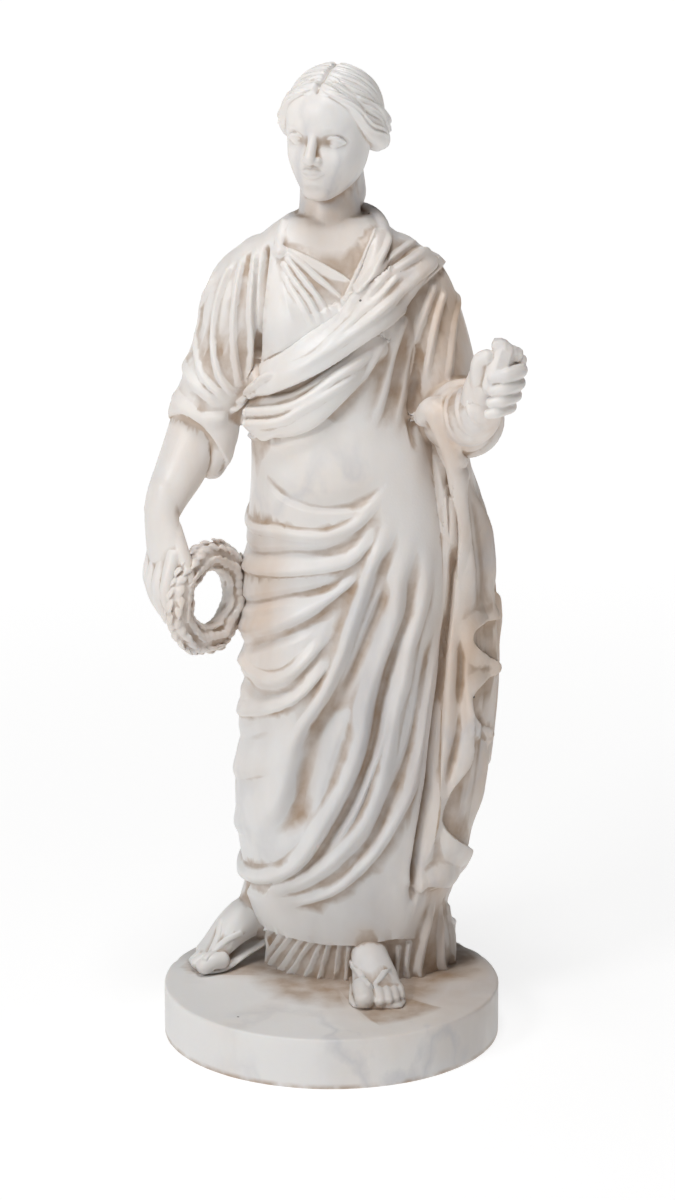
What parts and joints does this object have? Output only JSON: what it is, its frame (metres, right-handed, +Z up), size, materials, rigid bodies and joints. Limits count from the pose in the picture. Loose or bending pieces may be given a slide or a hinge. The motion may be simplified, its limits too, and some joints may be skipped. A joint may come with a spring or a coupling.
{
  "type": "marble statuette",
  "caption": "Standing draped woman in white marble, a leaf wreath in her lowered hand, carved in one block with a round plinth.",
  "frame": {"origin": "centre of the round plinth's underside, which stands on the ground", "axes": "+Z up the figure, +X to the figure's left, -Y the way she faces"},
  "size_m": [0.2537, 0.23, 0.6628],
  "materials": {
    "marble": "softly polished white marble with brown grime in the folds"
  },
  "bodies": {
    "root": {"statue": "marble"}
  },
  "joints": []
}
